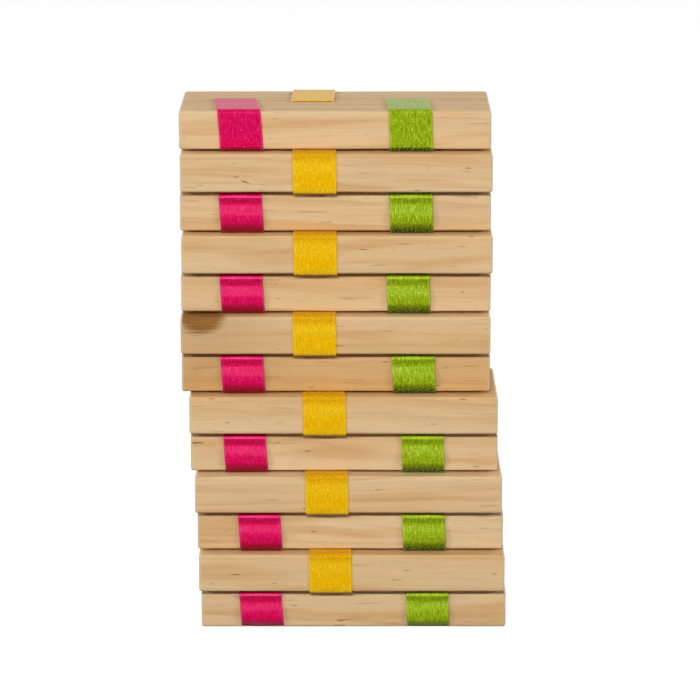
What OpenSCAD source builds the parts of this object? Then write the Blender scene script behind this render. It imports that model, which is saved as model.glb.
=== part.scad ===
// Jacob's ladder: flat wooden blocks, folded into a stack and hinged to each other by three ribbons.
// The yellow ribbon runs down one long edge of a block, over the top of the next block and down the
// other edge of that one. The pink and green ribbons do the same on the opposite edges.
// Block 1 is the top of the stack, which stands on the plane z = 0 with its front towards -Y.

/* [Blocks] */
// Length of a block, along the grain
block_length = 50.5; // [44:0.5:80]
// Depth of a block, from its front long edge to its back long edge
block_depth = 22; // [18:0.5:40]
// Thickness of a block
block_thickness = 6.4; // [5:0.1:12]
// Radius of the sanded long edges of a block
edge_radius = 0.5; // [0.4:0.1:2]
// Radius of the sanded edges at the ends of a block
end_radius = 0.5; // [0.2:0.1:1.5]

/* [Ribbons] */
// Width of a ribbon
ribbon_width = 7; // [4:0.5:9]
// Thickness of the woven ribbon
ribbon_thickness = 0.2; // [0.1:0.05:0.4]
// Thickness of the glue between a ribbon and its block
glue_line = 0.03; // [0.02:0.01:0.1]
// From the left end of a block to the pink ribbon
pink_inset = 6.5; // [3:0.5:7]
// From the middle of a block to the middle of the yellow ribbon, towards the left
yellow_offset = 3.5; // [1:0.5:4]
// From the right end of a block to the green ribbon
green_inset = 9.5; // [3:0.5:10]
// Length of the glued end of a ribbon on top of the first block
tail_length = 12; // [4:0.5:16]

/* [Stack] */
// Room between a ribbon and the next block of the folded stack
fold_clearance = 0.05; // [0.03:0.01:0.3]
// How far the blocks stand in turn behind and in front of the middle of the stack
stagger = 1.1; // [0:0.1:2]
// Slit between two stretches of a ribbon at a fold, where the cloth bends
fold_slit = 0.1; // [0.05:0.05:0.3]

/* [Hidden] */
$fn = 48;

// How far each block has slid to the right, from the top of the stack down
side_lean = [-1.5, -1.3, -1.45, -1.2, -1.4, -1.45, -1.4, -0.15, -0.05, 0.65, 0.95, 1.2, 1.5];
block_count = len(side_lean);

half_depth = block_depth / 2;
half_thickness = block_thickness / 2;
ribbon_rise = glue_line + ribbon_thickness;
pitch = block_thickness + ribbon_rise + fold_clearance;

// Distance in from a long edge at which a face is flat again, past the round of the edge
flat_start = half_depth - edge_radius;
// The same place on the next block, measured on this block: the two stand twice the stagger apart
next_flat_start = flat_start - 2 * stagger;

pink_middle = -block_length / 2 + pink_inset + ribbon_width / 2;
yellow_middle = -yellow_offset;
green_middle = block_length / 2 - green_inset - ribbon_width / 2;

wood = "burlywood";
pink = "mediumvioletred";
yellow = "gold";
green = "yellowgreen";

function two_digits(k) = str(k < 10 ? "0" : "", k);
function node_name(piece, k) = str(piece, "_", two_digits(k));
PIECES = ["block", "pink_ribbon", "yellow_ribbon", "green_ribbon"];

// The long edge that the yellow ribbon turns round: 1 is the back one, -1 the front one
function yellow_edge(k) = k % 2 == 1 ? 1 : -1;

// Middle of a block in the folded stack
function block_middle(k) = [
    side_lean[k - 1],
    stagger * yellow_edge(k),
    half_thickness + (block_count - k) * pitch
];

// Rectangle about the origin with round corners
module rounded_rectangle(width, height, radius) {
    square([width - 2 * radius, height], center = true);
    square([width, height - 2 * radius], center = true);
    for (x = [-1, 1], y = [-1, 1])
        translate([x * (width / 2 - radius), y * (height / 2 - radius)]) circle(r = radius);
}

// Cross-section of a block, grown all round by a margin
module block_section(margin) {
    rounded_rectangle(block_depth + 2 * margin, block_thickness + 2 * margin, edge_radius + margin);
}

// Stands a section drawn as depth by height along X
module along_x(length) {
    rotate([90, 0, 90]) linear_extrude(length, center = true) children();
}

// Part of the section plane from one corner to the opposite one
module patch(low, high) {
    translate(low) square(high - low);
}

module block(k) {
    color(wood) translate(block_middle(k)) intersection() {
        along_x(block_length) block_section(0);
        linear_extrude(block_thickness, center = true)
            rounded_rectangle(block_length, block_depth, end_radius);
        rotate([90, 0, 0]) linear_extrude(block_depth, center = true)
            rounded_rectangle(block_length, block_thickness, end_radius);
    }
}

// Ribbon lying all round a block, cut to the patches of the section plane that are its children.
// The patches are drawn for a ribbon that turns round the back edge.
module ribbon(k, middle, edge) {
    translate(block_middle(k) + [middle, 0, 0]) along_x(ribbon_width) intersection() {
        difference() {
            block_section(ribbon_rise);
            block_section(glue_line);
        }
        mirror([edge > 0 ? 0 : 1, 0]) children();
    }
}

// Turn of a ribbon round the long edge of a block. On the last block it ends on the flat of the edge,
// so that the block rests on bare wood.
module edge_turn(k) {
    lowest = k < block_count ? -block_thickness : edge_radius - half_thickness;
    patch([flat_start, lowest], [block_depth, block_thickness]);
}

// Glued end of a ribbon on top of the first block
module tail() {
    patch([half_depth - tail_length, 0], [half_depth, block_thickness]);
}

// The yellow ribbon comes over the top of a block from the fold above, turns down round the edge
// and runs in under the block as far as the next block carries it
module yellow_ribbon(k) {
    color(yellow) ribbon(k, yellow_middle, yellow_edge(k)) {
        edge_turn(k);
        if (k == 1) tail();
        else patch([fold_slit - flat_start, 0], [half_depth, block_thickness]);
        if (k < block_count) patch([next_flat_start, -block_thickness], [half_depth, 0]);
    }
}

// The pink and green ribbons come out of the fold above, turn down round the edge
// and run under the whole block to the fold below
module outer_ribbon(k, middle) {
    ribbon(k, middle, -yellow_edge(k)) {
        edge_turn(k);
        if (k == 1) tail();
        if (k < block_count) patch([fold_slit - next_flat_start, -block_thickness], [half_depth, 0]);
    }
}

module pink_ribbon(k) {
    color(pink) outer_ribbon(k, pink_middle);
}

module green_ribbon(k) {
    color(green) outer_ribbon(k, green_middle);
}

for (k = [1 : block_count]) {
    block(k);
    pink_ribbon(k);
    yellow_ribbon(k);
    green_ribbon(k);
}
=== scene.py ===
import math

import bpy
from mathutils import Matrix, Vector


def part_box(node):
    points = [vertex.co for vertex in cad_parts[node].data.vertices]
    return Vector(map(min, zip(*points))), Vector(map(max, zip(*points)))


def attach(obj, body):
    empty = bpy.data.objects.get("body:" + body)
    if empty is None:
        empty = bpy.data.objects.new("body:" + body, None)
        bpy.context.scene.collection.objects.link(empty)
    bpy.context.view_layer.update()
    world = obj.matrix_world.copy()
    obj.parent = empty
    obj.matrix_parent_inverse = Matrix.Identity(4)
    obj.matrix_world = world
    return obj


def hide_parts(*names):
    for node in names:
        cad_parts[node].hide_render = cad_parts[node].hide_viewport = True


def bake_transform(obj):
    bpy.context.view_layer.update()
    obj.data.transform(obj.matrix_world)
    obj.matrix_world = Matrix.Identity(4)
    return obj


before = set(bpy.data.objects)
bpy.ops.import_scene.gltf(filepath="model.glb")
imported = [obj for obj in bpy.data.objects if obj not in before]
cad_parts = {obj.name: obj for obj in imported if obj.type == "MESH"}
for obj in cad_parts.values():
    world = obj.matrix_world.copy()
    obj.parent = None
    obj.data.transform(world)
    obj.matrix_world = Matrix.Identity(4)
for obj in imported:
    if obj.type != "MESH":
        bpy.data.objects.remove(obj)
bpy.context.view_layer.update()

# The body of the toy is thirteen flat blocks of pale pine. Each is sawn with the grain along its
# length, with its edges lightly sanded. The wood is left bare, and the blocks lie loose on each
# other, some a little to the left and some a little to the right.
MM = 0.001
block_count = 13
half_thickness_mm = 3.2
edge_radius = 0.5 * MM
end_radius = 0.5 * MM
sanding_depth = 0.12 * MM
ring_width_mm = 1.9
ring_wander_mm = 5.0


def linear(colour):
    """An sRGB hex colour as linear red, green, blue and alpha."""
    parts = [int(colour[i : i + 2], 16) / 255 for i in (1, 3, 5)]
    return [p / 12.92 if p <= 0.04045 else ((p + 0.055) / 1.055) ** 2.4 for p in parts] + [1.0]


def add(tree, kind, inputs=None, **settings):
    """Adds a node with its settings. An input is a value, a node or an output of a node."""
    made = tree.nodes.new(kind)
    for name, value in settings.items():
        setattr(made, name, value)
    for key, value in (inputs or {}).items():
        shown = [socket for socket in made.inputs if socket.name == key and socket.enabled]
        socket = shown[0] if shown else made.inputs[key]
        if isinstance(value, bpy.types.Node):
            value = next(output for output in value.outputs if output.enabled)
        if isinstance(value, bpy.types.NodeSocket):
            tree.links.new(value, socket)
        else:
            socket.default_value = value
    return made


def shaped(name, mesh, tree, sizes):
    """A new piece made by a tree from its named sizes, kept as a plain mesh."""
    piece = bpy.data.objects.new(name, mesh)
    bpy.context.scene.collection.objects.link(piece)
    modifier = piece.modifiers.new("shape", "NODES")
    modifier.node_group = tree
    for item in tree.interface.items_tree:
        if item.in_out == "INPUT" and item.name in sizes:
            modifier[item.identifier] = sizes[item.name]
    graph = bpy.context.evaluated_depsgraph_get()
    made = bpy.data.meshes.new_from_object(piece.evaluated_get(graph))
    made.name = name
    piece.modifiers.clear()
    piece.data = made
    return piece


# Sanded pine: pale sapwood with narrow darker lines at the end of each year's growth, fine fibres
# and a few resin flecks along the grain, and darker end grain with the rings as arcs.
pine = bpy.data.materials.new("sanded pine")
pine.use_nodes = True
wood = pine.node_tree
in_log = add(wood, "ShaderNodeAttribute", attribute_name="in_log").outputs["Vector"]
from_knot = add(wood, "ShaderNodeAttribute", attribute_name="from_knot").outputs["Fac"]
on_edge = add(wood, "ShaderNodeAttribute", attribute_name="on_edge").outputs["Fac"]
warmth_and_painted_bounce = add(wood, "ShaderNodeAttribute", attribute_name="warmth_and_painted_bounce").outputs["Fac"]

# How often each pattern repeats in a millimetre, along the grain and both ways across it: the rings
# wander over 50 mm, fibres are 12 mm long and 0.4 mm wide, streaks of resin 40 and 2 mm, dark flecks
# 3 and 0.5 mm, and reddish lines 8 and 0.5 mm.
patterns = {}
for name, repeats, detail, roughness in (
    ("wander", (0.02, 0.09, 0.09), 3.0, 0.5),
    ("fibre", (0.08, 2.5, 2.5), 4.0, 0.65),
    ("streak", (0.025, 0.45, 0.45), 2.0, 0.5),
    ("fleck", (0.3, 2.2, 2.2), 1.0, 0.5),
    ("red line", (0.13, 2.21, 2.21), 1.0, 0.5),
):
    repeated = add(wood, "ShaderNodeVectorMath", {0: in_log, 1: repeats}, operation="MULTIPLY")
    patterns[name] = add(
        wood,
        "ShaderNodeTexNoise",
        {"Vector": repeated, "Scale": 1.0, "Detail": detail, "Roughness": roughness},
    )
fibre = patterns["fibre"]

# The rings lie round the pith and swell round a knot, by 2.5 mm at its heart
sideways = add(wood, "ShaderNodeVectorMath", {0: in_log, 1: (0, 1, 1)}, operation="MULTIPLY")
from_pith = add(wood, "ShaderNodeVectorMath", {0: sideways}, operation="LENGTH")
grown = add(
    wood,
    "ShaderNodeMath",
    {0: patterns["wander"], 1: ring_wander_mm, 2: from_pith},
    operation="MULTIPLY_ADD",
)
knot_room = add(
    wood,
    "ShaderNodeMath",
    {0: from_knot, 1: from_knot, 2: 0.6},
    operation="MULTIPLY_ADD",
)
knot_swell = add(wood, "ShaderNodeMath", {0: 1.5, 1: knot_room}, operation="DIVIDE")
bent = add(wood, "ShaderNodeMath", {0: grown, 1: knot_swell}, operation="ADD")
years = add(wood, "ShaderNodeMath", {0: bent, 1: ring_width_mm}, operation="DIVIDE")
season = add(wood, "ShaderNodeMath", {0: years}, operation="FRACT")
year = add(wood, "ShaderNodeMath", {0: years}, operation="FLOOR")
hard_year = add(wood, "ShaderNodeTexWhiteNoise", {"W": year}, noise_dimensions="1D")
summer = add(wood, "ShaderNodeMath", {0: season, 1: 2.6}, operation="POWER")
winter = add(
    wood,
    "ShaderNodeMapRange",
    {"Value": season, "From Min": 0.86, "From Max": 1.0, "To Min": 1.0, "To Max": 0.0},
    interpolation_type="SMOOTHSTEP",
)
late_wood = add(wood, "ShaderNodeMath", {0: summer, 1: winter}, operation="MULTIPLY")
ring_line = add(wood, "ShaderNodeMath", {0: late_wood, 1: hard_year}, operation="MULTIPLY")

# Streaks, rings, reddish lines and flecks darken the sapwood, one over the other
stain = add(
    wood,
    "ShaderNodeMapRange",
    {"Value": patterns["streak"], "From Min": 0.48, "From Max": 0.7, "To Max": 0.7},
    interpolation_type="SMOOTHSTEP",
)
ring_share = add(wood, "ShaderNodeMath", {0: ring_line, 1: 0.5}, operation="MULTIPLY")
red_line = add(
    wood,
    "ShaderNodeMapRange",
    {"Value": patterns["red line"], "From Min": 0.66, "From Max": 0.78, "To Max": 0.4},
    interpolation_type="SMOOTHSTEP",
)
fleck = add(
    wood,
    "ShaderNodeMapRange",
    {"Value": patterns["fleck"], "From Min": 0.73, "From Max": 0.8, "To Max": 0.8},
    interpolation_type="SMOOTHSTEP",
)
# Each block runs from pale to orange between its faces: the board's own tone, with painted warm bounce
# light and shade near the blocks next to it
tone = add(
    wood,
    "ShaderNodeMix",
    {"Factor": warmth_and_painted_bounce, "A": linear("#E6CCA4"), "B": linear("#D3A569")},
    data_type="RGBA",
)
for share, colour in (
    (stain, "#CF9F64"),
    (ring_share, "#B27F47"),
    (red_line, "#A9703F"),
    (fleck, "#7C5229"),
):
    tone = add(wood, "ShaderNodeMix", {"Factor": share, "A": tone, "B": linear(colour)}, data_type="RGBA")
fibre_shade = add(
    wood,
    "ShaderNodeMapRange",
    {"Value": fibre, "From Min": 0.25, "From Max": 0.75, "To Min": 0.9, "To Max": 1.06},
)
tone = add(
    wood,
    "ShaderNodeMix",
    {"Factor": 1.0, "A": tone, "B": fibre_shade},
    data_type="RGBA",
    blend_type="MULTIPLY",
)

# A knot has a ragged dark core in a bruise along the fibres. The ends show darker end grain, and the
# edges are pale, partly from sanding and partly as a painted highlight where the rounded edges catch the
# light.
bruise = add(
    wood,
    "ShaderNodeMapRange",
    {"Value": from_knot, "From Min": 0.8, "From Max": 4.5, "To Min": 0.55, "To Max": 0.0},
    interpolation_type="SMOOTHSTEP",
)
bruise_lines = add(wood, "ShaderNodeMath", {0: bruise, 1: fibre}, operation="MULTIPLY")
ragged = add(wood, "ShaderNodeMath", {0: fibre, 1: 0.9, 2: from_knot}, operation="MULTIPLY_ADD")
knot_core = add(
    wood,
    "ShaderNodeMapRange",
    {"Value": ragged, "From Min": 1.2, "From Max": 1.75, "To Min": 0.95, "To Max": 0.0},
    interpolation_type="SMOOTHSTEP",
)
knot_share = add(wood, "ShaderNodeMapRange", {"Value": fibre, "From Min": 0.3, "From Max": 0.65})
knot_colour = add(
    wood,
    "ShaderNodeMix",
    {"Factor": knot_share, "A": linear("#6A3800"), "B": linear("#96620E")},
    data_type="RGBA",
)
facing = add(wood, "ShaderNodeSeparateXYZ", {0: add(wood, "ShaderNodeNewGeometry").outputs["Normal"]})
end_facing = add(wood, "ShaderNodeMath", {0: facing.outputs["X"]}, operation="ABSOLUTE")
end_grain = add(
    wood,
    "ShaderNodeMapRange",
    {"Value": end_facing, "From Min": 0.55, "From Max": 0.95, "To Max": 0.4},
    interpolation_type="SMOOTHSTEP",
)
# The pale edges are partly sanding wear and partly a painted highlight on the rounded edges
worn_and_painted_highlight = add(wood, "ShaderNodeMath", {0: on_edge, 1: 0.6}, operation="MULTIPLY")
for share, colour in (
    (bruise_lines, linear("#8F6A42")),
    (knot_core, knot_colour),
    (end_grain, linear("#B98850")),
    (worn_and_painted_highlight, linear("#F0DDB8")),
):
    tone = add(wood, "ShaderNodeMix", {"Factor": share, "A": tone, "B": colour}, data_type="RGBA")
wood_gloss = add(
    wood,
    "ShaderNodeMapRange",
    {"Value": fibre, "From Min": 0.3, "From Max": 0.7, "To Min": 0.58, "To Max": 0.74},
)
wood_relief = add(wood, "ShaderNodeMath", {0: ring_line, 1: 0.8, 2: fibre}, operation="MULTIPLY_ADD")
wood_bump = add(
    wood,
    "ShaderNodeBump",
    {"Height": wood_relief, "Strength": 0.35, "Distance": 0.06 * MM},
)
pine_surface = wood.nodes["Principled BSDF"]
pine_surface.inputs["IOR"].default_value = 1.5
pine_surface.inputs["Specular IOR Level"].default_value = 0.35
for socket, source in (
    ("Base Color", tone.outputs[2]),
    ("Roughness", wood_gloss.outputs[0]),
    ("Normal", wood_bump.outputs[0]),
):
    wood.links.new(source, pine_surface.inputs[socket])

# One tree cuts every block: a box with closer cells along its edges, pushed out onto round edges
# and corners, then worn a little unevenly. It also notes where in the log the block was cut.
cells = Vector((58, 28, 14))
edge_cells = 4
flat_cells = cells / 2 - Vector((edge_cells, edge_cells, edge_cells))
wear_per_metre = (90, 220, 220)
block_tree = bpy.data.node_groups.new("sanded block", "GeometryNodeTree")
block_tree.interface.new_socket("Block", in_out="OUTPUT", socket_type="NodeSocketGeometry")
for name, kind in (
    ("Middle", "NodeSocketVector"),
    ("Half size", "NodeSocketVector"),
    ("Edge radius", "NodeSocketVector"),
    ("Sanding depth", "NodeSocketFloat"),
    ("Place in log", "NodeSocketVector"),
    ("Grain tilt", "NodeSocketVector"),
    ("Knot", "NodeSocketVector"),
    ("Knot size", "NodeSocketVector"),
    ("Warmth and painted bounce above", "NodeSocketFloat"),
    ("Warmth and painted bounce below", "NodeSocketFloat"),
    ("Wood", "NodeSocketMaterial"),
):
    block_tree.interface.new_socket(name, in_out="INPUT", socket_type=kind)
given = add(block_tree, "NodeGroupInput").outputs
counts = {f"Vertices {axis}": int(count) + 1 for axis, count in zip("XYZ", cells)}
grid = add(block_tree, "GeometryNodeMeshCube", {"Size": cells, **counts})
cell_place = add(block_tree, "GeometryNodeInputPosition")
away = add(block_tree, "ShaderNodeVectorMath", {0: cell_place}, operation="ABSOLUTE")
side = add(block_tree, "ShaderNodeVectorMath", {0: cell_place}, operation="SIGN")
radii = given["Edge radius"]
flat_half = add(
    block_tree,
    "ShaderNodeVectorMath",
    {0: given["Half size"], 1: radii},
    operation="SUBTRACT",
)
on_flat = add(
    block_tree,
    "ShaderNodeMapRange",
    {
        "Vector": away,
        "From Min": (0, 0, 0),
        "From Max": flat_cells,
        "To Min": (0, 0, 0),
        "To Max": flat_half,
    },
    data_type="FLOAT_VECTOR",
)
past_flat = add(
    block_tree,
    "ShaderNodeMapRange",
    {
        "Vector": away,
        "From Min": flat_cells,
        "From Max": cells / 2,
        "To Min": (0, 0, 0),
        "To Max": (1, 1, 1),
    },
    data_type="FLOAT_VECTOR",
)
outward = add(block_tree, "ShaderNodeVectorMath", {0: past_flat}, operation="NORMALIZE")
rounding = add(block_tree, "ShaderNodeVectorMath", {0: outward, 1: radii}, operation="MULTIPLY")
quarter = add(block_tree, "ShaderNodeVectorMath", {0: on_flat, 1: rounding}, operation="ADD")
from_middle = add(block_tree, "ShaderNodeVectorMath", {0: quarter, 1: side}, operation="MULTIPLY")
wear_place = add(
    block_tree,
    "ShaderNodeVectorMath",
    {0: from_middle, 1: wear_per_metre, 2: given["Place in log"]},
    operation="MULTIPLY_ADD",
)
wear = add(block_tree, "ShaderNodeTexNoise", {"Vector": wear_place, "Scale": 1.0, "Detail": 2.0})
wear_in = add(block_tree, "ShaderNodeMath", {0: wear, 1: given["Sanding depth"]}, operation="MULTIPLY")
true_outward = add(block_tree, "ShaderNodeVectorMath", {0: outward, 1: side}, operation="MULTIPLY")
worn_off = add(
    block_tree,
    "ShaderNodeVectorMath",
    {0: true_outward, "Scale": wear_in},
    operation="SCALE",
)
sanded = add(block_tree, "ShaderNodeVectorMath", {0: from_middle, 1: worn_off}, operation="SUBTRACT")
in_stack = add(block_tree, "ShaderNodeVectorMath", {0: sanded, 1: given["Middle"]}, operation="ADD")

in_mm = add(block_tree, "ShaderNodeVectorMath", {0: from_middle, "Scale": 1 / MM}, operation="SCALE")
turned = add(
    block_tree,
    "ShaderNodeVectorRotate",
    {"Vector": in_mm, "Rotation": given["Grain tilt"]},
    rotation_type="EULER_XYZ",
)
log_place = add(
    block_tree,
    "ShaderNodeVectorMath",
    {0: turned, 1: given["Place in log"]},
    operation="ADD",
)
to_knot = add(
    block_tree,
    "ShaderNodeVectorMath",
    {0: from_middle, 1: given["Knot"]},
    operation="SUBTRACT",
)
in_knots = add(
    block_tree,
    "ShaderNodeVectorMath",
    {0: to_knot, 1: given["Knot size"]},
    operation="DIVIDE",
)
knot_distance = add(block_tree, "ShaderNodeVectorMath", {0: in_knots}, operation="LENGTH")
edge_turns = add(block_tree, "ShaderNodeSeparateXYZ", {0: past_flat}).outputs
long_turn = add(
    block_tree,
    "ShaderNodeMath",
    {0: edge_turns["Y"], 1: edge_turns["Z"]},
    operation="MAXIMUM",
)
both_turns = add(block_tree, "ShaderNodeMath", {0: edge_turns["X"], 1: long_turn}, operation="ADD")
edge_share = add(
    block_tree,
    "ShaderNodeMath",
    {0: both_turns, 1: 1.0},
    operation="SUBTRACT",
    use_clamp=True,
)
height = add(block_tree, "ShaderNodeSeparateXYZ", {0: in_mm}).outputs["Z"]
# The board's own tone with painted warm bounce light and shade, from the lower face to the upper
board_warmth_and_painted_bounce = add(
    block_tree,
    "ShaderNodeMapRange",
    {
        "Value": height,
        "From Min": -half_thickness_mm,
        "From Max": half_thickness_mm,
        "To Min": given["Warmth and painted bounce below"],
        "To Max": given["Warmth and painted bounce above"],
    },
)

noted = grid
for name, kind, value in (
    ("in_log", "FLOAT_VECTOR", log_place),
    ("from_knot", "FLOAT", knot_distance),
    ("on_edge", "FLOAT", edge_share),
    ("warmth_and_painted_bounce", "FLOAT", board_warmth_and_painted_bounce),
):
    noted = add(
        block_tree,
        "GeometryNodeStoreNamedAttribute",
        {"Geometry": noted, "Name": name, "Value": value},
        data_type=kind,
        domain="POINT",
    )
placed = add(block_tree, "GeometryNodeSetPosition", {"Geometry": noted, "Position": in_stack})
smoothed = add(block_tree, "GeometryNodeSetShadeSmooth", {"Geometry": placed})
realised = add(block_tree, "GeometryNodeRealizeInstances", {"Geometry": smoothed})
finished = add(block_tree, "GeometryNodeSetMaterial", {"Geometry": realised, "Material": given["Wood"]})
add(block_tree, "NodeGroupOutput", {"Block": finished})

# How orange each block is at its upper and lower face, from the top of the stack down: partly the board's
# own tone and partly painted warm bounce light and shade from the blocks next to it
warmths_and_painted_bounce = [(0.4, 0.5), (0.6, 0.4), (0.4, 0.6), (0.65, 0.4), (0.75, 0.4), (0.5, 0.7), (0.8, 1.05)]
warmths_and_painted_bounce += [(0.75, 0.25), (0.6, 0.3), (0.4, 0.6), (0.25, 0.4), (0.6, 0.4), (0.4, 0.5)]
# The sixth block has a knot at its front left, which bruises the seventh too, and the third has one
# at its back. The others have theirs a metre away.
knots = {
    6: Vector((-21.8, -11.0, 3.1)) * MM,
    7: Vector((-19.0, -11.0, 6.2)) * MM,
    3: Vector((17.0, 11.0, -1.0)) * MM,
}
no_knot = Vector((1, 1, 1))
knot_size = Vector((3.6, 7.0, 2.6)) * MM
# Each block comes from its own stretch of the log, at another side of the pith and nearer to it or
# further from it, with the grain a few degrees off its length
log_step_mm = 97.0
pith_turn_deg = 137.5
blocks = {}
for k in range(1, block_count + 1):
    low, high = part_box(f"block_{k:02d}")
    pith_angle = math.radians(pith_turn_deg * k)
    pith_distance_mm = 24 + (17 * k) % 40
    tilt_up = math.radians(2.0 * math.sin(2.1 * k))
    tilt_across = math.radians(3.0 * math.cos(1.7 * k))
    block = shaped(
        f"pine_block_{k:02d}",
        bpy.data.meshes.new("block"),
        block_tree,
        {
            "Middle": (low + high) / 2,
            "Half size": (high - low) / 2,
            "Edge radius": (end_radius, edge_radius, edge_radius),
            "Sanding depth": sanding_depth,
            "Place in log": (
                log_step_mm * k,
                pith_distance_mm * math.cos(pith_angle),
                pith_distance_mm * math.sin(pith_angle),
            ),
            "Grain tilt": (0, tilt_up, tilt_across),
            "Knot": knots.get(k, no_knot),
            "Knot size": knot_size,
            "Warmth and painted bounce above": warmths_and_painted_bounce[k - 1][0],
            "Warmth and painted bounce below": warmths_and_painted_bounce[k - 1][1],
            "Wood": pine,
        },
    )
    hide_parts(f"block_{k:02d}")
    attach(block, f"rung_{k:02d}")
    blocks[k] = (low / MM, high / MM)

# Three satin ribbons hinge the blocks. Each is one long woven strip, glued at the ends to the first
# and the last block and, in between, to every edge that it turns round. The yellow one crosses the
# top of each block and turns down round its far edge, in turn at the back and at the front.
ribbon_thickness_mm = 0.2
glue_line_mm = 0.03
tail_length_mm = 12.0
crown_mm = 0.25
ripple_mm = 0.12
yarn_width_mm = 0.22
float_length_mm = 1.3
glint_length_mm = 0.45


def satin(name, thread, lit, ground_and_turn_shade, gloss_tint, grain):
    """Satin weave: long floats of bright yarn along the ribbon, on which shine and glints are painted one
    by one.
    """
    material = bpy.data.materials.new(name)
    material.use_nodes = True
    cloth = material.node_tree
    along = add(cloth, "ShaderNodeAttribute", attribute_name="along").outputs["Fac"]
    across = add(cloth, "ShaderNodeAttribute", attribute_name="across").outputs["Fac"]
    painted_turn_shade = add(cloth, "ShaderNodeAttribute", attribute_name="painted_turn_shade").outputs["Fac"]
    painted_highlight = add(cloth, "ShaderNodeAttribute", attribute_name="painted_highlight").outputs["Fac"]
    on_cloth = add(cloth, "ShaderNodeCombineXYZ", {"X": across, "Y": along})

    # The yarns are drawn about twice as wide as real ones, which would be too fine to show
    float_size = (1 / yarn_width_mm, 1 / float_length_mm, 0)
    float_place = add(cloth, "ShaderNodeVectorMath", {0: on_cloth, 1: float_size}, operation="MULTIPLY")
    floats = add(
        cloth,
        "ShaderNodeTexNoise",
        {"Vector": float_place, "Scale": 1.0, "Detail": 2.0, "Roughness": 0.6},
        noise_dimensions="2D",
    )
    glint_size = (1 / yarn_width_mm, 1 / glint_length_mm, 0)
    glint_place = add(cloth, "ShaderNodeVectorMath", {0: on_cloth, 1: glint_size}, operation="MULTIPLY")
    glints = add(
        cloth,
        "ShaderNodeTexNoise",
        {"Vector": glint_place, "Scale": 1.0, "Detail": 1.0},
        noise_dimensions="2D",
    )
    full = add(
        cloth,
        "ShaderNodeMapRange",
        {"Value": floats, "From Min": 0.25, "From Max": 0.5, "To Min": 1 - 0.4 * grain, "To Max": 1.0},
    )
    woven = add(
        cloth,
        "ShaderNodeMix",
        {"Factor": full, "A": linear(ground_and_turn_shade), "B": linear(thread)},
        data_type="RGBA",
    )
    # Painted shine on the fullest floats and painted glints, in the colour of lit yarn
    painted_shine = add(
        cloth,
        "ShaderNodeMapRange",
        {"Value": floats, "From Min": 0.52, "From Max": 0.8, "To Max": 0.4 * grain},
    )
    painted_glint = add(
        cloth,
        "ShaderNodeMapRange",
        {"Value": glints, "From Min": 0.62, "From Max": 0.8, "To Max": 0.7 * grain},
    )

    # Round each turn the cloth is painted in shade: the darker ground shows between the bright crowns of
    # the floats
    crown_size = (1 / (1.4 * yarn_width_mm), 1 / (1.6 * yarn_width_mm), 0)
    crown_place = add(cloth, "ShaderNodeVectorMath", {0: on_cloth, 1: crown_size}, operation="MULTIPLY")
    crowns = add(
        cloth,
        "ShaderNodeTexVoronoi",
        {"Vector": crown_place, "Scale": 1.0},
        voronoi_dimensions="2D",
    )
    crown = add(
        cloth,
        "ShaderNodeMapRange",
        {"Value": crowns, "From Min": 0.15, "From Max": 0.5, "To Min": 0.35 * grain, "To Max": 0.0},
    )
    turn_shade = add(
        cloth,
        "ShaderNodeMix",
        {"Factor": crown, "A": linear(ground_and_turn_shade), "B": linear(lit)},
        data_type="RGBA",
    )

    # The selvedges are a little paler, and a painted highlight, speckled like the glints, lies where the
    # cloth is marked to catch the light
    from_middle = add(cloth, "ShaderNodeMath", {0: across}, operation="ABSOLUTE")
    selvedge = add(
        cloth,
        "ShaderNodeMapRange",
        {"Value": from_middle, "From Min": 3.1, "From Max": 3.3, "To Max": 0.12},
    )
    highlight_speckle = add(
        cloth,
        "ShaderNodeMapRange",
        {"Value": glints, "From Min": 0.35, "From Max": 0.6, "To Min": 0.5 - 0.3 * grain, "To Max": 0.8},
    )
    painted_highlight_share = add(cloth, "ShaderNodeMath", {0: painted_highlight, 1: highlight_speckle}, operation="MULTIPLY")
    for share, colour in (
        (painted_shine, linear(lit)),
        (painted_glint, linear(lit)),
        (painted_turn_shade, turn_shade),
        (selvedge, linear(lit)),
        (painted_highlight_share, linear(lit)),
    ):
        woven = add(cloth, "ShaderNodeMix", {"Factor": share, "A": woven, "B": colour}, data_type="RGBA")

    turns_per_mm = 2 * math.pi / yarn_width_mm
    yarn_turns = add(cloth, "ShaderNodeMath", {0: across, 1: turns_per_mm}, operation="MULTIPLY")
    yarn_round = add(cloth, "ShaderNodeMath", {0: yarn_turns}, operation="SINE")
    yarn_relief = add(
        cloth,
        "ShaderNodeMath",
        {0: yarn_round, 1: 0.25, 2: floats},
        operation="MULTIPLY_ADD",
    )
    relief = add(cloth, "ShaderNodeMath", {0: glints, 1: 0.8, 2: yarn_relief}, operation="MULTIPLY_ADD")
    bump = add(
        cloth,
        "ShaderNodeBump",
        {"Height": relief, "Strength": 0.6 * grain, "Distance": 0.04 * MM},
    )
    gloss = add(
        cloth,
        "ShaderNodeMapRange",
        {"Value": floats, "From Min": 0.3, "From Max": 0.7, "To Min": 0.46, "To Max": 0.36},
    )
    thread_way = add(cloth, "ShaderNodeTangent", direction_type="UV_MAP", uv_map="weave")
    surface = cloth.nodes["Principled BSDF"]
    for socket, value in (
        ("IOR", 1.5),
        ("Specular IOR Level", 0.3),
        ("Specular Tint", linear(gloss_tint)),
        ("Anisotropic", 0.6),
    ):
        surface.inputs[socket].default_value = value
    for socket, source in (
        ("Base Color", woven.outputs[2]),
        ("Roughness", gloss.outputs[0]),
        ("Normal", bump.outputs[0]),
        ("Tangent", thread_way.outputs[0]),
    ):
        cloth.links.new(source, surface.inputs[socket])
    return material


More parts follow.
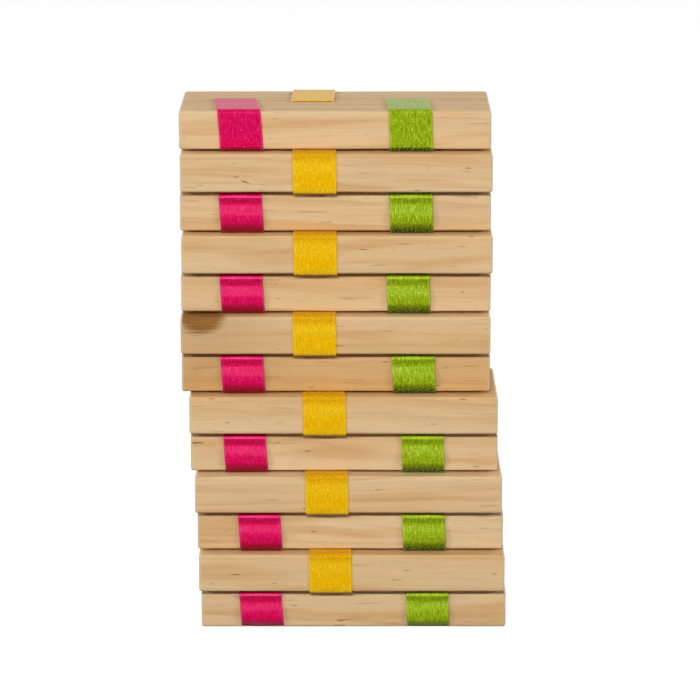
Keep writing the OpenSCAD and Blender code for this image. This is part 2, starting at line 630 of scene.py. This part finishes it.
# One tree weaves every stretch of ribbon: a flat strip with thicker selvedges swept along a line,
# crowned across where it is slack. It notes the place along and across for the weave.
ribbon_tree = bpy.data.node_groups.new("woven ribbon", "GeometryNodeTree")
ribbon_tree.interface.new_socket("Ribbon", in_out="OUTPUT", socket_type="NodeSocketGeometry")
for name, kind in (
    ("Line", "NodeSocketGeometry"),
    ("Width", "NodeSocketFloat"),
    ("Thickness", "NodeSocketFloat"),
    ("Crown", "NodeSocketFloat"),
    ("Ripple", "NodeSocketFloat"),
    ("Satin", "NodeSocketMaterial"),
):
    ribbon_tree.interface.new_socket(name, in_out="INPUT", socket_type=kind)
given = add(ribbon_tree, "NodeGroupInput").outputs
line = add(ribbon_tree, "GeometryNodeMeshToCurve", {0: given["Line"]})
levelled = add(
    ribbon_tree,
    "GeometryNodeSetCurveNormal",
    {"Curve": line, "Normal": (1, 0, 0)},
    mode="FREE",
)
ring = add(ribbon_tree, "GeometryNodeCurvePrimitiveCircle", {"Resolution": 44, "Radius": 1.0})
ring_point = add(ribbon_tree, "GeometryNodeInputPosition")
on_ring = add(ribbon_tree, "ShaderNodeSeparateXYZ", {0: ring_point}).outputs
half_width = add(ribbon_tree, "ShaderNodeMath", {0: given["Width"], 1: 0.5}, operation="MULTIPLY")
strip_x = add(ribbon_tree, "ShaderNodeMath", {0: on_ring["X"], 1: half_width}, operation="MULTIPLY")
from_centre = add(ribbon_tree, "ShaderNodeMath", {0: on_ring["X"]}, operation="ABSOLUTE")
selvedge = add(
    ribbon_tree,
    "ShaderNodeMapRange",
    {"Value": from_centre, "From Min": 0.88, "From Max": 0.94, "To Min": 0.42, "To Max": 0.52},
    interpolation_type="SMOOTHSTEP",
)
half_thick = add(
    ribbon_tree,
    "ShaderNodeMath",
    {0: given["Thickness"], 1: selvedge},
    operation="MULTIPLY",
)
face_side = add(
    ribbon_tree,
    "ShaderNodeMapRange",
    {"Value": on_ring["Y"], "From Min": -0.16, "From Max": 0.16, "To Min": -1.0, "To Max": 1.0},
)
strip_y = add(ribbon_tree, "ShaderNodeMath", {0: face_side, 1: half_thick}, operation="MULTIPLY")
strip_point = add(ribbon_tree, "ShaderNodeCombineXYZ", {"X": strip_x, "Y": strip_y})
across_mm = add(ribbon_tree, "ShaderNodeMath", {0: strip_x, 1: 1 / MM}, operation="MULTIPLY")
noted_ring = add(
    ribbon_tree,
    "GeometryNodeStoreNamedAttribute",
    {"Geometry": ring, "Name": "across", "Value": across_mm},
    data_type="FLOAT",
    domain="POINT",
)
strip = add(ribbon_tree, "GeometryNodeSetPosition", {"Geometry": noted_ring, "Position": strip_point})
swept = add(
    ribbon_tree,
    "GeometryNodeCurveToMesh",
    {"Curve": levelled, "Profile Curve": strip, "Fill Caps": True},
)
carried = {}
for name in ("along", "across", "slack"):
    carried[name] = add(
        ribbon_tree,
        "GeometryNodeInputNamedAttribute",
        {"Name": name},
        data_type="FLOAT",
    )
off_wood = add(
    ribbon_tree,
    "GeometryNodeInputNamedAttribute",
    {"Name": "off_wood"},
    data_type="FLOAT_VECTOR",
)
half_mm = add(ribbon_tree, "ShaderNodeMath", {0: half_width, 1: 1 / MM}, operation="MULTIPLY")
share = add(ribbon_tree, "ShaderNodeMath", {0: carried["across"], 1: half_mm}, operation="DIVIDE")
share_squared = add(ribbon_tree, "ShaderNodeMath", {0: share, 1: share}, operation="MULTIPLY")
crown_share = add(ribbon_tree, "ShaderNodeMath", {0: 1.0, 1: share_squared}, operation="SUBTRACT")
crown = add(ribbon_tree, "ShaderNodeMath", {0: crown_share, 1: given["Crown"]}, operation="MULTIPLY")
on_cloth = add(ribbon_tree, "ShaderNodeCombineXYZ", {"X": carried["across"], "Y": carried["along"]})
ripple_noise = add(ribbon_tree, "ShaderNodeTexNoise", {"Vector": on_cloth, "Scale": 0.4, "Detail": 1.0})
ripple_centred = add(ribbon_tree, "ShaderNodeMath", {0: ripple_noise, 1: 0.5}, operation="SUBTRACT")
crown_ripple = add(
    ribbon_tree,
    "ShaderNodeMath",
    {0: ripple_centred, 1: given["Ripple"], 2: crown},
    operation="MULTIPLY_ADD",
)
lift = add(ribbon_tree, "ShaderNodeMath", {0: crown_ripple, 1: carried["slack"]}, operation="MULTIPLY")
lifted = add(ribbon_tree, "ShaderNodeVectorMath", {0: off_wood, "Scale": lift}, operation="SCALE")
crowned = add(ribbon_tree, "GeometryNodeSetPosition", {"Geometry": swept, "Offset": lifted})
weave_place = add(ribbon_tree, "ShaderNodeVectorMath", {0: on_cloth, "Scale": 0.01}, operation="SCALE")
unwrapped = add(
    ribbon_tree,
    "GeometryNodeStoreNamedAttribute",
    {"Geometry": crowned, "Name": "weave", "Value": weave_place},
    data_type="FLOAT2",
    domain="CORNER",
)
soft = add(ribbon_tree, "GeometryNodeSetShadeSmooth", {"Geometry": unwrapped})
realised = add(ribbon_tree, "GeometryNodeRealizeInstances", {"Geometry": soft})
finished = add(
    ribbon_tree,
    "GeometryNodeSetMaterial",
    {"Geometry": realised, "Material": given["Satin"]},
)
add(ribbon_tree, "NodeGroupOutput", {"Ribbon": finished})

# A ribbon's middle line lies half its thickness above the glue, and its points are close together
lay_mm = glue_line_mm + ribbon_thickness_mm / 2
edge_mm = edge_radius / MM
longest_step_mm = 1.0


def turn(middle, edge_side, first, last, steps=12):
    """Points of the cloth round a sanded edge, between two angles above straight out, in degrees."""
    points = []
    for i in range(steps + 1):
        angle = math.radians(first + (last - first) * i / steps)
        out = (edge_mm + lay_mm) * math.cos(angle)
        points.append((middle[0] + edge_side * out, middle[1] + (edge_mm + lay_mm) * math.sin(angle)))
    return points


def smooth(points, steps):
    """A smooth line through points, without the first and the last of them."""
    made = []
    for four in zip(points, points[1:], points[2:], points[3:]):
        for i in range(steps):
            t = i / steps
            shares = (
                (2 * t**2 - t - t**3) / 2,
                (2 - 5 * t**2 + 3 * t**3) / 2,
                (t + 4 * t**2 - 3 * t**3) / 2,
                (t**3 - t**2) / 2,
            )
            made.append(tuple(sum(s * p[axis] for s, p in zip(shares, four)) for axis in (0, 1)))
    return made + [points[-2]]


class Line:
    """The middle line of a ribbon, across and up the stack, in millimetres."""

    def __init__(self):
        self.points = []
        self.slack = []
        self.painted_turn_shade = []
        self.painted_highlight = []
        self.sides = []
        self.faces = []
        self.cuts = []

    def go(self, points, side, slack=0.0, painted_turn_shade=0.0, painted_highlight=0.0):
        """Lengthens the line. The cloth there is slack, painted with shade and painted with a highlight
        by these shares.
        """
        for point in points:
            last = self.points[-1] if self.points else point
            gap = math.dist(last, point)
            if self.points and gap < 1e-6:
                continue
            steps = max(1, math.ceil(gap / longest_step_mm))
            for i in range(1, steps + 1):
                self.points.append(tuple(p + (q - p) * i / steps for p, q in zip(last, point)))
                self.slack.append(slack)
                self.painted_turn_shade.append(painted_turn_shade)
                self.painted_highlight.append(painted_highlight)
                self.sides.append(side)

    def mark_face(self):
        """The last point is at the middle of a block's edge."""
        self.faces.append(len(self.points) - 1)

    def mark_cut(self):
        """The last point is where one stretch ends and the next one starts."""
        self.cuts.append(len(self.points) - 1)

    def lengths(self):
        """Length of the line up to each point."""
        total = [0.0]
        for p, q in zip(self.points, self.points[1:]):
            total.append(total[-1] + math.dist(p, q))
        return total


def ribbon_middles(colour):
    """Middle of a ribbon on each block, along the blocks, in millimetres."""
    found = []
    for k in range(1, block_count + 1):
        low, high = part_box(f"{colour}_ribbon_{k:02d}")
        found.append((low.x + high.x) / 2 / MM)
    return found


def sideways_at(length, stations, middles, slant):
    """Where the ribbon is along the blocks: a smooth curve through its place on each block's edge."""
    if length <= stations[0]:
        return middles[0] + slant * (length - stations[0])
    for a, b, p, q in zip(stations, stations[1:], middles, middles[1:]):
        if length <= b:
            t = (length - a) / (b - a)
            eased = 3 * t**2 - 2 * t**3
            return p + (q - p) * eased + slant * (b - a) * (t - eased)
    return middles[-1] + slant * (length - stations[-1])


def weave(colour, line, strays, slant, material):
    """Weaves a ribbon along its line, in one piece for each block, and returns the pieces by block."""
    lengths = line.lengths()
    stations = [lengths[i] for i in line.faces]
    middles = [x + strays.get(k, 0.0) for k, x in enumerate(ribbon_middles(colour), 1)]
    low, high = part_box(f"{colour}_ribbon_01")
    pieces = {}
    for k, (first, last) in enumerate(zip(line.cuts, line.cuts[1:]), 1):
        places = []
        off_wood = []
        for i in range(first, last + 1):
            x = sideways_at(lengths[i], stations, middles, slant)
            places.append(Vector((x, *line.points[i])) * MM)
            before = line.points[max(i - 1, 0)]
            after = line.points[min(i + 1, len(line.points) - 1)]
            run = Vector((after[0] - before[0], after[1] - before[1])).normalized()
            off_wood.extend((0.0, -line.sides[i] * run.y, line.sides[i] * run.x))
        mesh = bpy.data.meshes.new("line")
        mesh.from_pydata(places, [(i, i + 1) for i in range(len(places) - 1)], [])
        for name, values in (
            ("along", lengths),
            ("slack", line.slack),
            ("painted_turn_shade", line.painted_turn_shade),
            ("painted_highlight", line.painted_highlight),
        ):
            noted = mesh.attributes.new(name, "FLOAT", "POINT")
            noted.data.foreach_set("value", values[first : last + 1])
        noted = mesh.attributes.new("off_wood", "FLOAT_VECTOR", "POINT")
        noted.data.foreach_set("vector", off_wood)
        piece = shaped(
            f"{colour}_satin_{k:02d}",
            mesh,
            ribbon_tree,
            {
                "Width": high.x - low.x,
                "Thickness": ribbon_thickness_mm * MM,
                "Crown": crown_mm * MM,
                "Ripple": ripple_mm * MM,
                "Satin": material,
            },
        )
        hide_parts(f"{colour}_ribbon_{k:02d}")
        pieces[k] = piece
    return pieces


def bend_at_fold(piece, fold, upper, lower):
    """Bakes a stretch's place into its mesh, and does not bend it at the fold. The two heights above the
    fold's axis, in millimetres, are not used.
    """
    if fold % 2 == 1:
        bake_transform(piece)
    else:
        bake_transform(piece)


def share_between(value, none, whole):
    """0 up to one value, 1 from another one on, and rising evenly between them."""
    return min(max((value - none) / (whole - none), 0.0), 1.0)


# On the face of an edge the cloth is held at its middle and a little slack, up to this near a turn
face_slack = 0.25
turn_reach_mm = 1.2
# Below the turn over a block: mm down from its top, and how much painted shade and painted highlight the
# cloth has there
below_turn = [(0.75, 0.42, 0.0), (1.0, 0.25, 0.05), (1.3, 0.1, 0.15), (1.7, 0.0, 0.28), (2.4, 0.0, 0.28)]
turn_shade_over = 0.7
# Shares of painted highlight half way down the face, and toward and round the turn under it
painted_highlight_half_way = 0.1
painted_highlight_under = 0.3
yellow_line = Line()
for k in range(1, block_count + 1):
    low, high = blocks[k]
    edge_side = 1 if k % 2 == 1 else -1
    face = high.y if edge_side > 0 else low.y
    corner = face - edge_side * edge_mm
    on_face = face + edge_side * lay_mm
    inner_end = face - edge_side * tail_length_mm if k == 1 else (low.y + high.y) / 2
    yellow_line.go([(inner_end, high.z + lay_mm)], edge_side)
    yellow_line.mark_cut()
    yellow_line.go([(corner - edge_side * turn_reach_mm, high.z + lay_mm)], edge_side)
    over = turn((corner, high.z - edge_mm), edge_side, 90, 0)
    # Painted shade over the turn, and below it painted shade and painted highlight from the list above
    yellow_line.go(over, edge_side, painted_turn_shade=turn_shade_over)
    for down, turn_shade, painted_highlight in below_turn:
        yellow_line.go([(on_face, high.z - down)], edge_side, face_slack, turn_shade, painted_highlight)
    yellow_line.go([(on_face, (low.z + high.z) / 2)], edge_side, face_slack, painted_highlight=painted_highlight_half_way)
    yellow_line.mark_face()
    yellow_line.go([(on_face, low.z + turn_reach_mm)], edge_side, face_slack)
    yellow_line.go([(on_face, low.z + edge_mm)], edge_side, face_slack, painted_highlight=painted_highlight_under)
    if k < block_count:
        under = turn((corner, low.z + edge_mm), edge_side, 0, -90)
        yellow_line.go(under, edge_side, painted_highlight=painted_highlight_under)
yellow_line.mark_cut()
yellow_satin = satin(
    "yellow satin ribbon",
    thread="#EDB300",
    lit="#FFE63C",
    ground_and_turn_shade="#C88400",
    gloss_tint="#FFE24A",
    grain=0.9,
)
# It has slid to the right on some blocks, in mm, and leans to the right along its length by this slant.
# Then come two heights above the axis of a fold, in mm.
yellow_strays = {6: 0.1, 8: 0.4, 10: -0.05}
yellow_slant = 0.015
yellow_bend = (0.6, 0.12)
for k, piece in weave("yellow", yellow_line, yellow_strays, yellow_slant, yellow_satin).items():
    if k < block_count:
        bend_at_fold(piece, k, *yellow_bend)
    else:
        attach(piece, f"rung_{k:02d}")

# The pink and green ribbons run the other way round: they come out of the fold above a block, hang
# slack over its edge, turn under it and cross its underside to the fold on the other side.
smooth_steps = 10
# How far inside the face of the edge the cloth comes out of the fold
emerging_mm = (2.2, 0.9, 0.1)
# How far out from that face it then hangs, and how far below the block's top
slack_mm = [(0.05, 0.12), (0.22, 0.36), (0.46, 0.6), (0.52, 0.8), (0.38, 1.05), (0.13, 1.6)]
slack_mm += [(0.12, 2.0), (0.24, 2.4), (0.4, 2.85), (0.56, 3.3), (0.68, 3.8), (0.7, 4.4), (0.54, 5.1)]
# The cloth turns down in one straight step. Below that it comes free of the fold and bends over a crest,
# along which a highlight is painted. All of these are measured down from the block's top.
one_step_mm = 0.22
free_from_mm = 0.2
free_to_mm = 0.55
crest_highlight_mm = 0.66
crest_highlight_reach_mm = 0.09
# On the way to the turn, measured up from the block's underside, the cloth is darkened by painted shade
# and the slack is taken up. There the cloth meets the turn at an angle.
turn_shade_from_mm = 1.7
turn_shade_to_mm = 0.4
taken_up = 0.8
join_deg = -30
outer_line = Line()
for k in range(1, block_count + 1):
    low, high = blocks[k]
    edge_side = -1 if k % 2 == 1 else 1
    face = high.y if edge_side > 0 else low.y
    corner = face - edge_side * edge_mm
    on_face = face + edge_side * lay_mm
    half_way = (low.z + high.z) / 2
    if k == 1:
        outer_line.go([(face - edge_side * tail_length_mm, high.z + lay_mm)], edge_side)
        outer_line.mark_cut()
        outer_line.go(turn((corner, high.z - edge_mm), edge_side, 90, 0), edge_side)
        outer_line.go([(on_face, half_way)], edge_side, face_slack)
        outer_line.mark_face()
        outer_line.go([(on_face, low.z + edge_mm)], edge_side, face_slack)
    else:
        above = blocks[k - 1][0].z - lay_mm
        emerging = [(on_face - edge_side * inside, above) for inside in emerging_mm]
        hanging = [(on_face + edge_side * out, high.z - down) for out, down in slack_mm]
        ending = [(on_face, low.z + edge_mm), (on_face, low.z)]
        if k < block_count:
            ending = turn((corner, low.z + edge_mm), edge_side, join_deg, join_deg - 15, 1)
        whole = smooth(emerging + hanging + ending, smooth_steps)
        just_below = above - 0.01
        whole = [point for point in whole if not high.z - one_step_mm < point[1] < just_below]
        half = next(i for i, point in enumerate(whole) if point[1] < half_way)
        for point in whole[:half]:
            down = high.z - point[1]
            free = share_between(down, free_from_mm, free_to_mm)
            # A painted highlight along the crest
            crest_highlight = share_between(abs(down - crest_highlight_mm), crest_highlight_reach_mm, 0.0)
            outer_line.go([point], edge_side, free, painted_highlight=crest_highlight)
        outer_line.mark_face()
        for point in whole[half:]:
            # Painted shade grows toward the turn under the block
            turn_shade = share_between(point[1] - low.z, turn_shade_from_mm, turn_shade_to_mm)
            outer_line.go([point], edge_side, 1.0 - taken_up * turn_shade, turn_shade)
    if k < block_count:
        first = 0 if k == 1 else join_deg
        under = turn((corner, low.z + edge_mm), edge_side, first, -90)
        # The turn under the block is painted in shade
        outer_line.go(under, edge_side, painted_turn_shade=1.0)
        outer_line.go([((low.y + high.y) / 2, low.z - lay_mm)], edge_side)
        outer_line.mark_cut()
outer_line.mark_cut()
pink_satin = satin(
    "pink satin ribbon",
    thread="#D40050",
    lit="#FA6CAC",
    ground_and_turn_shade="#8C000C",
    gloss_tint="#FF80C4",
    grain=0.35,
)
green_satin = satin(
    "green satin ribbon",
    thread="#8AA304",
    lit="#D2EA50",
    ground_and_turn_shade="#1E3400",
    gloss_tint="#E2F27A",
    grain=1.0,
)
pink_strays = {7: 0.05, 9: -0.95, 11: 0.4}
green_strays = {5: -0.45, 7: 0.45, 9: 0.65, 11: -0.1}
outer_bend = (-0.13, -0.2)
for colour, strays, slant, material in (
    ("pink", pink_strays, 0.08, pink_satin),
    ("green", green_strays, 0.04, green_satin),
):
    for k, piece in weave(colour, outer_line, strays, slant, material).items():
        if k > 1:
            bend_at_fold(piece, k - 1, *outer_bend)
        else:
            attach(piece, f"rung_{k:02d}")

# The stack stands on a sweep of paper, in soft light from three screens in front of it, not far above
# it, a faint one overhead and two behind.
floor_reach = 4.0
floor_drop = 0.02 * MM
corners = []
for x, y in ((-1, -1), (1, -1), (1, 1), (-1, 1)):
    corners.append((x * floor_reach, y * floor_reach, -floor_drop))
floor_mesh = bpy.data.meshes.new("floor")
floor_mesh.from_pydata(corners, [], [(0, 1, 2, 3)])
floor = bpy.data.objects.new("floor", floor_mesh)
bpy.context.scene.collection.objects.link(floor)


def seen_directly(tree):
    """1 for what is seen, also mirrored or through something clear, and 0 for light on the pieces."""
    rays = add(tree, "ShaderNodeLightPath").outputs
    shown = rays["Is Camera Ray"]
    for kind in ("Is Glossy Ray", "Is Transmission Ray"):
        shown = add(tree, "ShaderNodeMath", {0: shown, 1: rays[kind]}, operation="MAXIMUM")
    return shown


# The paper is grey, so that it throws little light back up at the stack, and glows white to the
# camera and to anything that mirrors or lets through what is behind it.
paper = bpy.data.materials.new("grey paper sweep")
paper.use_nodes = True
sheet = paper.node_tree
paper_fibres = 400.0
paper_glow = 0.92
paper_place = add(sheet, "ShaderNodeTexCoord").outputs["Object"]
fibre_noise = add(
    sheet,
    "ShaderNodeTexNoise",
    {"Vector": paper_place, "Scale": paper_fibres, "Detail": 2.0},
)
paper_tone = add(
    sheet,
    "ShaderNodeMix",
    {"Factor": fibre_noise, "A": linear("#6C6C6B"), "B": linear("#70706F")},
    data_type="RGBA",
)
matte = add(sheet, "ShaderNodeBsdfDiffuse", {"Color": paper_tone})
glow = add(sheet, "ShaderNodeEmission", {"Color": (1, 1, 1, 1), "Strength": paper_glow})
bright = add(sheet, "ShaderNodeAddShader", {0: matte, 1: glow})
paper_mix = add(sheet, "ShaderNodeMixShader", {0: seen_directly(sheet), 1: matte, 2: bright})
sheet.links.new(paper_mix.outputs[0], sheet.nodes["Material Output"].inputs["Surface"])
floor_mesh.materials.append(paper)

# The room too throws little light on the stack, and is bright behind it
room_on_stack = 0.06
room_behind = 0.85
room = bpy.data.worlds.new("bright room")
bpy.context.scene.world = room
room.use_nodes = True
sky = room.node_tree
room_light = sky.nodes["Background"]
room_light.inputs["Color"].default_value = (1, 1, 1, 1)
room_strength = add(
    sky,
    "ShaderNodeMapRange",
    {"Value": seen_directly(sky), "To Min": room_on_stack, "To Max": room_behind},
)
sky.links.new(room_strength.outputs[0], room_light.inputs["Strength"])

stack_middle = Vector((0, 0, 45)) * MM
for name, place, size, power in (
    ("front screen", Vector((-0.06, -0.85, 0.46)), (0.3, 0.05), 5.3),
    ("left screen", Vector((-0.62, -0.62, 0.35)), (0.25, 0.05), 2.0),
    ("right screen", Vector((0.64, -0.6, 0.34)), (0.25, 0.05), 1.75),
    ("overhead screen", Vector((0.0, -0.2, 0.9)), (0.6, 0.6), 0.5),
    ("back left screen", Vector((-0.75, 0.55, 0.35)), (0.3, 0.2), 3.8),
    ("back right screen", Vector((0.75, 0.55, 0.35)), (0.3, 0.2), 3.8),
):
    lamp = bpy.data.lights.new(name, "AREA")
    lamp.shape = "RECTANGLE"
    lamp.size, lamp.size_y = size
    lamp.energy = power
    screen = bpy.data.objects.new(name, lamp)
    screen.location = place
    screen.rotation_euler = (stack_middle - place).to_track_quat("-Z", "Y").to_euler()
    bpy.context.scene.collection.objects.link(screen)
bpy.context.scene.view_settings.view_transform = "Standard"

# The camera looks at the front of the stack from a little above, through a long lens.
looking_down = math.radians(12.42)
aim = Vector((0.9, -11.0, 47.37)) * MM
distance = 600 * MM
lens = bpy.data.cameras.new("camera")
lens.sensor_width = 36.0
lens.lens = 189.44
lens.clip_start = 0.01
camera = bpy.data.objects.new("camera", lens)
camera.location = aim - Vector((0, math.cos(looking_down), -math.sin(looking_down))) * distance
camera.rotation_euler = (math.pi / 2 - looking_down, 0, 0)
bpy.context.scene.collection.objects.link(camera)
bpy.context.scene.camera = camera
